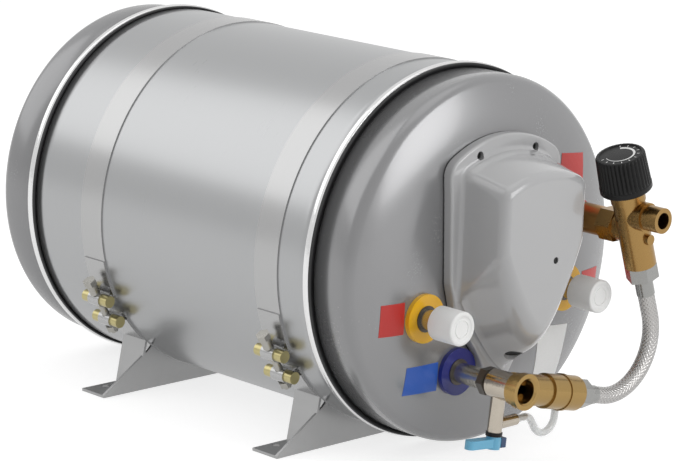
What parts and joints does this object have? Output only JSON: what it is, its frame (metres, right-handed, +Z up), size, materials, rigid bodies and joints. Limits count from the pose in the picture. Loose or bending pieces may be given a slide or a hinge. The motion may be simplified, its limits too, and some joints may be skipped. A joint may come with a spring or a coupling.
{
  "type": "water heater",
  "caption": "Lying cylindrical insulated water heater on strap feet, with electrical cover, safety valve, mixing valve with knob, braided hose and capped ports.",
  "frame": {"origin": "centre of the four foot holes, on the plane the feet stand on", "axes": "+Z up; the tank lies along Y, with its front cap, cover, ports and valves towards -Y; +X to the right seen from the front"},
  "size_m": [0.3994, 0.708, 0.397],
  "materials": {
    "shell_steel": "brushed",
    "cap_grey": "satin",
    "ring_steel": "bright",
    "seal_black": "matte",
    "foam": "matte",
    "tank_steel": "satin",
    "stub_steel": "dull",
    "dark_steel": "dark",
    "copper": "satin",
    "brass": "satin",
    "element_steel": "satin",
    "cream_plastic": "matte",
    "red_plastic": "gloss",
    "wire_blue": "matte",
    "cover_grey": "gloss",
    "screw_dark": "dark",
    "strap_steel": "brushed",
    "bolt_steel": "zinc plated",
    "foot_steel": "zinc plated",
    "washer_yellow": "gloss",
    "washer_blue": "gloss",
    "washer_red": "gloss",
    "cap_white": "satin",
    "label_red": "gloss",
    "label_blue": "gloss",
    "label_white": "gloss",
    "nickel": "nickel plated",
    "black_plastic": "satin",
    "lever_blue": "gloss",
    "tip_blue": "gloss",
    "hose_nut_steel": "bright",
    "braid_steel": "braided",
    "clear_tube": "clear",
    "bronze": "satin"
  },
  "bodies": {
    "heater": {"outer_shell": "shell_steel", "front_cap": "cap_grey", "rear_cap": "cap_grey", "front_ring": "ring_steel", "rear_ring": "ring_steel", "front_seal": "seal_black", "rear_seal": "seal_black", "foam_insulation": "foam", "inner_tank": "tank_steel", "element_neck": "tank_steel", "cold_stub": "stub_steel", "hot_stub": "stub_steel", "engine_stubs": "stub_steel", "port_rings": "dark_steel", "heat_exchanger_coil": "copper", "hot_pickup_tube": "tank_steel", "cold_inlet_tube": "tank_steel", "element_plug": "brass", "element_gasket": "seal_black", "heating_element": "element_steel", "thermostat_probe": "copper", "thermostat_bracket": "bolt_steel", "thermostat": "cream_plastic", "terminal_block": "cream_plastic", "terminal_screws": "brass", "internal_wires": "wire_blue", "electrical_cover": "cover_grey", "cover_gasket": "seal_black", "cover_screws": "screw_dark", "front_strap": "strap_steel", "rear_strap": "strap_steel", "clamp_barrels": "brass", "clamp_bolts": "bolt_steel", "clamp_nuts": "bolt_steel", "front_foot": "foot_steel", "rear_foot": "foot_steel", "engine_washers": "washer_yellow", "cold_washer": "washer_blue", "hot_washer": "washer_red", "port_labels": "label_red", "cold_label": "label_blue", "rating_plate": "label_white", "collar_nut": "dark_steel", "safety_valve_body": "nickel", "relief_ring": "black_plastic", "tee": "nickel", "check_valve": "nickel", "hose_end_fittings": "hose_nut_steel", "braided_hose": "braid_steel", "drain_tube": "clear_tube", "hot_nipple": "bronze", "union_nut": "nickel", "mixing_valve": "nickel"},
    "knob": {"mixing_knob": "black_plastic"},
    "lever": {"relief_plunger": "brass", "drain_lever": "lever_blue", "lever_tip": "tip_blue"},
    "button": {"reset_button": "red_plastic"},
    "left_cap": {"left_port_cap": "cap_white"},
    "right_cap": {"right_port_cap": "cap_white"}
  },
  "joints": [
    {"name": "mixing_knob_turn", "type": "hinge", "parent": "heater", "child": "knob", "pos_m": [0.12, -0.362, 0.2345], "axis": [-0.3256, 0, 0.9455], "range_deg": [-150, 150]},
    {"name": "drain_lever_turn", "type": "hinge", "parent": "heater", "child": "lever", "pos_m": [-0.0515, -0.344, 0.0955], "axis": [0.1045, 0, 0.9945], "range_deg": [0, 90]},
    {"name": "reset_button_push", "type": "slide", "parent": "heater", "child": "button", "axis": [0, 1, 0], "range_m": [0, 0.002], "stiffness_N_per_m": 600, "springref_m": -0.002},
    {"name": "left_port_cap_pull", "type": "slide", "parent": "heater", "child": "left_cap", "axis": [0, -1, 0], "range_m": [0, 0.025]},
    {"name": "right_port_cap_pull", "type": "slide", "parent": "heater", "child": "right_cap", "axis": [0, -1, 0], "range_m": [0, 0.025]}
  ]
}
